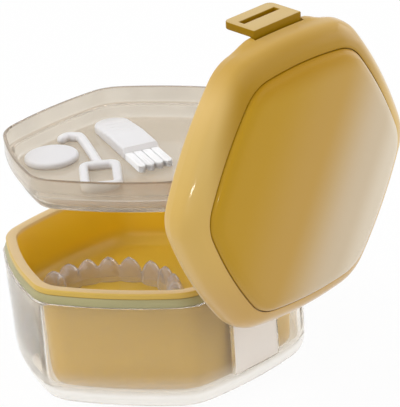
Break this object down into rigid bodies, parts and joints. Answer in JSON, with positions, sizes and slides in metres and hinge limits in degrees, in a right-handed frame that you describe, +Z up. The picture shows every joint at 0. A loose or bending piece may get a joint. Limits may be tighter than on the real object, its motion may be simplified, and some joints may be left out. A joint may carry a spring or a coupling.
{
  "type": "denture case",
  "caption": "Hexagonal denture soaking case: clear shell, inner bowl with seal, lift-out tray of care tools, hinged two-part lid with pull-open latch flap.",
  "frame": {"origin": "middle of the clear shell's flat foot, on the surface that the case stands on", "axes": "+Z up; +Y towards the lid's hinge, -Y towards the latch; X along the hinge pin"},
  "size_m": [0.1, 0.1255, 0.128],
  "materials": {
    "clear_shell": "clear gloss",
    "mustard_plastic": "satin",
    "seal": "translucent satin",
    "hinge_plastic": "satin",
    "steel": "brushed",
    "aligner_plastic": "clear gloss",
    "frosted_tray": "frosted",
    "tablet": "matte",
    "white_plastic": "satin",
    "bristle": "satin",
    "lid_panel": "satin"
  },
  "bodies": {
    "base": {"outer_shell": "clear_shell", "inner_bowl": "mustard_plastic", "seal_ring": "seal", "hinge_plate": "hinge_plastic", "hinge_pin": "steel", "aligner": "aligner_plastic"},
    "tray": {"tray": "frosted_tray", "tablet": "tablet", "removal_tool": "white_plastic", "brush_handle": "white_plastic", "brush_tuft_1": "bristle", "brush_tuft_2": "bristle", "brush_tuft_3": "bristle", "brush_tuft_4": "bristle"},
    "lid": {"lid_frame": "mustard_plastic", "lid_panel": "lid_panel", "latch_pin": "steel"},
    "latch": {"latch_flap": "mustard_plastic"}
  },
  "joints": [
    {"name": "lid_hinge", "type": "hinge", "parent": "base", "child": "lid", "pos_m": [0, 0.0472, 0.0315], "axis": [1, 0, 0], "range_deg": [0, 94]},
    {"name": "tray_lift", "type": "slide", "parent": "base", "child": "tray", "axis": [0, 0, -1], "range_m": [0, 0.02985]},
    {"name": "latch_pull", "type": "hinge", "parent": "lid", "child": "latch", "pos_m": [0, 0.06435, 0.12413], "axis": [-1, 0, 0], "range_deg": [0, 40]}
  ],
  "couplings": [
    {"joint": "tray_lift", "follows": "lid_hinge", "m_per_rad": 0.018194}
  ]
}
